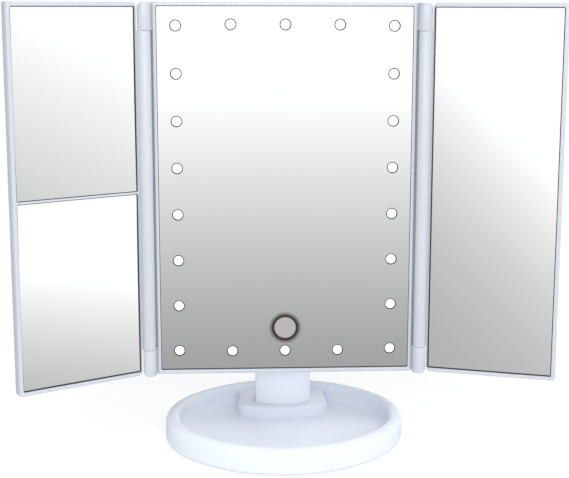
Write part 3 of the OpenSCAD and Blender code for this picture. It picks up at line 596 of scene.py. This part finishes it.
def flatGlass(node, name, place, body, face):
    piece = mouldedCopy(node, name, glass["arris"], 1, 20)
    silverFaces(piece, place.to_3x3() @ Vector((0, -1, 0)), body, node, face)


def glassSpan(node, matrix):  # lowest and highest x and z of a glass, and its face, in that frame
    places = [matrix.inverted() @ vertex.co for vertex in frame["nodes"][node].data.vertices]
    spans = [(min(p[i] for p in places), max(p[i] for p in places)) for i in range(3)]
    return spans[0], spans[2], spans[1][0]


def magnifier(which, node, name):  # a grid bent to the sphere, given its thickness and arris
    (near, far), (low, high), _ = glassSpan(node, atWing("left"))
    halfU, halfZ = (far - near) / 2, (high - low) / 2
    radius, corner = glass["radii"][which], math.hypot(halfU, halfZ)
    sag = radius - math.sqrt(radius ** 2 - corner ** 2)
    piece = named(fresh(bpy.ops.mesh.primitive_grid_add, x_subdivisions=glass["columns"],
                        y_subdivisions=glass["rows"], size=2), name)
    middle = Vector(((near + far) / 2, glass["wingFace"], (low + high) / 2))
    for vertex in piece.data.vertices:
        u, z = vertex.co.x * halfU, vertex.co.y * halfZ
        depth = sag - (radius - math.sqrt(radius ** 2 - u * u - z * z))
        vertex.co = middle + Vector((u, depth, z))
    shape(piece, "SOLIDIFY", thickness=glass["wingThick"], offset=-1)
    shape(piece, "BEVEL", width=glass["arris"], segments=1, limit_method="ANGLE",
          angle_limit=math.radians(60))
    settle(piece, 20, atWing("left"))
    front = atWing("left").to_3x3() @ Vector((0, -1, 0))
    silverFaces(piece, front, "left_wing", node)


flatGlass("centre_mirror", "centre_glass", atHead, "head", touchSilver)
flatGlass("right_mirror", "right_glass", atWing("right"), "right_wing", silver)
magnifier("upper", "left_upper_mirror", "upper_glass")
magnifier("lower", "left_lower_mirror", "lower_glass")
print("glasses made")


# Black seals pressed into the wider gaps: beside the wings' hinges and under the glasses. Their black is partly
# painted shade: it stands in for the dark shade of these gaps.
shadeSeal = {"wide": 0.66 * mm, "sunk": 0.06 * mm, "deep": 1.5 * mm, "edge": 0.1 * mm,
        "clear": 0.02 * mm}


def makeShadeSeal(name, place, body, runs):  # each run: the lowest x and z, its length, and how it lies
    bars = []
    for x, z, length, upright in runs:
        across, along = (shadeSeal["wide"], length) if upright else (length, shadeSeal["wide"])
        size = (across, shadeSeal["deep"], along)
        bar = fresh(bpy.ops.mesh.primitive_cube_add, size=1)
        start = Matrix.Translation((x, 0, z))
        fill = Matrix.Diagonal((*size, 1)) @ Matrix.Translation((0.5, 0.5, 0.5))
        bar.data.transform(place @ start @ fill)
        shape(bar, "BEVEL", width=shadeSeal["edge"], segments=2, limit_method="NONE")
        bars.append(bar)
    piece = merged(bars, name)
    settle(piece)
    dress(piece, shadeGasketBlack, body)


def shadeSealRuns(node, matrix, hinge):  # hinge: -1 or 1 for the side that the hinge is on, or 0
    (lowX, highX), (lowZ, highZ), face = glassSpan(node, matrix)
    room = shadeSeal["wide"] + shadeSeal["clear"]
    runs = [(lowX, lowZ - room, highX - lowX, False)]
    if hinge:
        runs.append((highX + shadeSeal["clear"] if hinge > 0 else lowX - room, lowZ, highZ - lowZ, True))
    return runs, matrix @ Matrix.Translation((0, face + shadeSeal["sunk"], 0))


shadeSeals = {
    "panel_shade_seal": ("head", atHead, {"centre_mirror": 0}),
    "left_shade_seal": ("left_wing", atWing("left"), {"left_upper_mirror": 1, "left_lower_mirror": 1}),
    "right_shade_seal": ("right_wing", atWing("right"), {"right_mirror": -1}),
}
for name, (body, matrix, nodes) in shadeSeals.items():
    allRuns = []
    for node, hinge in nodes.items():
        runs, place = shadeSealRuns(node, matrix, hinge)
        if node == "left_upper_mirror":
            runs = runs[1:]  # it stands close on the divider, with no gap for a seal below
        allRuns += runs
    makeShadeSeal(name, place, body, allRuns)
print("seals made")


# Lamp lenses: a low dome of frosted plastic on a flange that hides behind the glass
lens = {
    "radius": 2.92 * mm,
    "crown": 0.35 * mm,
    "edge": 0.35 * mm,
    "back": 2.0 * mm,
    "flange": 4.3 * mm,
    "flangeThick": 0.4 * mm,
    "sides": 40,
    "dome": [(0.7 * mm, 0.55), (0.8 * mm, 0.3), (0.8 * mm, 0.15)],  # insets and shares of the crown
}


def facing(matrix):  # turns a piece made along +Z so that it points out of the panel's face
    return matrix @ Matrix.Rotation(math.radians(90), 4, "X")


def makeLens():
    piece = fresh(bpy.ops.mesh.primitive_cylinder_add, vertices=lens["sides"], radius=lens["flange"],
                  depth=lens["flangeThick"],
                  location=(0, 0, -lens["back"] - lens["flangeThick"] / 2))
    bpy.ops.object.transform_apply(location=True, rotation=False, scale=False)
    dome = [(inset, lens["crown"] * share) for inset, share in lens["dome"]]
    terrace(piece, 1, [(lens["flange"] - lens["radius"], 0), (0, lens["back"] - lens["edge"])]
            + curl(lens["edge"], 0, 90, 4) + dome)
    return piece


def spread(master, name, places):  # a copy with its own mesh at each place, then one piece
    copies = []
    for place in places:
        copy = bpy.data.objects.new(name, master.data.copy())
        bpy.context.scene.collection.objects.link(copy)
        copy.data.transform(place)
        copies.append(copy)
    bpy.data.objects.remove(master)
    piece = merged(copies, name)
    settle(piece)
    return piece


lensPiece = spread(makeLens(), "lamp_domes",
                   [facing(atHead @ Matrix.Translation((x, 0, z))) for x, z in lampPlaces()])
dress(lensPiece, lensGlow, "head", ["lamp_lenses"])
print("lamps made")


# Screws of the rear cover, with a cross recess
coverScrew = {
    "head": 2.6 * mm,
    "headHigh": 1.6 * mm,
    "drum": 0.96 * mm,  # height of the head's straight side
    "flat": 0.7 * mm,
    "shank": 1.3 * mm,
    "reach": 6.8 * mm,
    "tip": 0.4 * mm,
    "depth": 12.3 * mm,  # top of the heads behind the glass
    "cross": (1.7 * mm, 0.275 * mm, 0.9 * mm),  # half the size of one bar of the recess
    "places": [(x, z) for x in (-52.0, 52.0) for z in (-106.1, 59.75, 104.9)],
}


def makeScrew():
    high, drum, tip = coverScrew["headHigh"], coverScrew["drum"], coverScrew["tip"]
    piece = fresh(bpy.ops.mesh.primitive_cylinder_add, vertices=36, radius=coverScrew["head"],
                  depth=drum, location=(0, 0, drum / 2 - high))
    bpy.ops.object.transform_apply(location=True, rotation=False, scale=False)
    terrace(piece, 1, curl(high - drum, 0, 90, 4) + [(coverScrew["flat"], 0.0)])
    terrace(piece, -1, [(coverScrew["head"] - coverScrew["shank"], 0),
                        (0, coverScrew["reach"]), (tip, tip)])
    for turn in (0, 1):
        cutter = fresh(bpy.ops.mesh.primitive_cube_add, size=2)
        cutter.data.transform(Matrix.Rotation(turn * math.pi / 2, 4, "Z")
                              @ Matrix.Diagonal((*coverScrew["cross"], 1)))
        shape(piece, "BOOLEAN", operation="DIFFERENCE", object=cutter, solver="EXACT")
        bpy.data.objects.remove(cutter)
    return piece


def backing(x, z):  # a place on the panel's back, pointing out of it
    place = atHead @ Matrix.Translation((x * mm, coverScrew["depth"], z * mm))
    return place @ Matrix.Rotation(math.radians(-90), 4, "X")


screwPiece = spread(makeScrew(), "cover_cross_screws",
                    [backing(x, z) for x, z in coverScrew["places"]])
dress(screwPiece, steel, "head", ["cover_screws"])
print("screws made")


# Battery door with finger grooves near its upper end
door = {
    "grooves": 6,
    "wide": 24 * mm,
    "radius": 1.1 * mm,
    "deep": 0.45 * mm,
    "pitch": 2.8 * mm,
    "fromTop": 7 * mm,
    "bevel": 0.3 * mm,
}


def makeDoor():
    piece = mouldedCopy("battery_door", "sliding_door", door["bevel"])
    toHead = atHead.inverted()
    places = [toHead @ vertex.co for vertex in piece.data.vertices]
    face, top = max(p.y for p in places), max(p.z for p in places)
    groove = fresh(bpy.ops.mesh.primitive_cylinder_add, vertices=24, radius=door["radius"],
                   depth=door["wide"])
    groove.data.transform(Matrix.Rotation(math.radians(90), 4, "Y"))
    middle = face + door["radius"] - door["deep"]
    rows = [top - door["fromTop"] - i * door["pitch"] for i in range(door["grooves"])]
    cutters = spread(groove, "doorGrooves",
                     [atHead @ Matrix.Translation((0, middle, z)) for z in rows])
    shape(piece, "BOOLEAN", operation="DIFFERENCE", object=cutters, solver="EXACT")
    bpy.data.objects.remove(cutters)
    settle(piece, 24)
    return piece


dress(makeDoor(), plastics["backPlastic"], "battery_door", ["battery_door"])
print("door made")


# Floor, light and camera
stage = {"size": 40.0, "tint": (0.8, 0.803, 0.808), "glow": 0.33}
floor = fresh(bpy.ops.mesh.primitive_plane_add, size=stage["size"])
floor.name = "floor"
floorFinish = grained("floorFinish", {"Emission Color": (1.0, 1.0, 1.0, 1.0),
                                      "Emission Strength": stage["glow"]},
                      stage["tint"], stage["tint"], 0.6, 0.01 * mm, 3.0)
floor.data.materials.append(floorFinish)
floor.visible_glossy = False  # the glasses mirror the studio, not the sweep under them

# What the glasses mirror: grey towards the foot of the studio. Each part is read by height in
# degrees, tilted by its slope away from its side. From its foot's tone at the height low it rises
# to full at the height high, the later the larger its bend.
studio = {
    "strength": 1.025,
    "overhead": 0.95,
    "dimming": (10.0, 45.0),  # heights over which the top falls to overhead
    "rightEdge": (-18.0, -12.0),
    "leftEdge": (15.0, 40.0),
    "leftSplit": (-7.0, -5.0),  # between what the left wing's lower and upper glass see
}
skyParts = {
    "centre": {"side": 0.0, "slope": 0.0, "low": -14.0, "high": 0.5, "foot": 0.33, "bend": 1.5},
    "right": {"side": -24.0, "slope": 0.85, "low": -20.0, "high": 0.5, "foot": 0.42, "bend": 3.0},
    "leftLow": {"side": 51.0, "slope": 0.1, "low": -13.5, "high": -10.0, "foot": 0.45, "bend": 1.5},
    "leftHigh": {"side": 51.0, "slope": 0.6, "low": -7.0, "high": 1.0, "foot": 0.5, "bend": 1.3},
}


def makeStudio():
    world = bpy.data.worlds.new("studio")
    bpy.context.scene.world = world
    world.use_nodes = True
    sky = Paint(world.node_tree)
    x, y, z = sky.split(sky.node("ShaderNodeTexCoord", out="Generated"))
    elevation = sky.node("ShaderNodeMath", {"operation": "ARCSINE"}, {0: z}) * math.degrees(1)
    azimuth = sky.node("ShaderNodeMath", {"operation": "ARCTAN2"}, {0: x, 1: 0.0 - y}) * math.degrees(1)

    def seen(name):
        part = skyParts[name]
        height = elevation + (azimuth - part["side"]) * part["slope"]
        rise = height.step(part["low"], part["high"], "LINEAR").power(part["bend"])
        return rise * (1.0 - part["foot"]) + part["foot"]

    tone = sky.mix(azimuth.fall(*studio["rightEdge"]), seen("centre"), seen("right"))
    leftTone = sky.mix(elevation.step(*studio["leftSplit"]), seen("leftLow"), seen("leftHigh"))
    tone = sky.mix(azimuth.step(*studio["leftEdge"]), tone, leftTone)
    dim = elevation.step(*studio["dimming"]) * (1.0 - studio["overhead"])
    backdrop = world.node_tree.nodes["Background"]
    world.node_tree.links.new(tone.socket, backdrop.inputs["Color"])
    world.node_tree.links.new(((1.0 - dim) * studio["strength"]).socket, backdrop.inputs["Strength"])


makeStudio()
softboxes = {
    "keyLight": {"place": (-0.5, -1.6, 1.1), "aim": (0, 0, 0.12), "size": (0.9, 0.8), "power": 1.5},
    "fillLight": {"place": (0.8, -1.5, 1.0), "aim": (0, 0, 0.12), "size": (0.9, 0.8), "power": 1.5},
    "frontLight": {"place": (-0.05, -1.3, 0.68), "aim": (0, 0, 0.08), "size": (0.8, 0.3), "power": 3.0},
    "topLight": {"place": (0, -0.6, 1.5), "aim": (0, -0.02, 0.02), "size": (0.9, 0.6), "power": 4.0},
}
for name, light in softboxes.items():
    data = bpy.data.lights.new(name, "AREA")
    data.shape = "RECTANGLE"
    data.size, data.size_y = light["size"]
    data.energy = light["power"]
    box = bpy.data.objects.new(name, data)
    bpy.context.scene.collection.objects.link(box)
    box.location = light["place"]
    towards = Vector(light["aim"]) - Vector(light["place"])
    box.rotation_euler = towards.to_track_quat("-Z", "Y").to_euler()

view = {
    "place": (-0.035, -0.7317, 0.3472),
    "yaw": -0.0544,
    "pitch": 0.2603,
    "roll": 0.0073,
    "sensor": 36,
    "lens": 76.17,
    "shift": (-0.015, -0.0424),
    "clip": (0.01, 100),
}
cameraData = bpy.data.cameras.new("camera")
cameraData.sensor_width = view["sensor"]
cameraData.lens = view["lens"]
cameraData.shift_x, cameraData.shift_y = view["shift"]
cameraData.clip_start, cameraData.clip_end = view["clip"]
camera = bpy.data.objects.new("camera", cameraData)
bpy.context.scene.collection.objects.link(camera)
camera.location = view["place"]
turn = (Matrix.Rotation(view["yaw"], 3, "Z") @ Matrix.Rotation(math.pi / 2 - view["pitch"], 3, "X")
        @ Matrix.Rotation(view["roll"], 3, "Z"))
camera.rotation_euler = turn.to_euler()
bpy.context.scene.camera = camera
bpy.context.scene.view_settings.view_transform = "Standard"
print("studio ready")
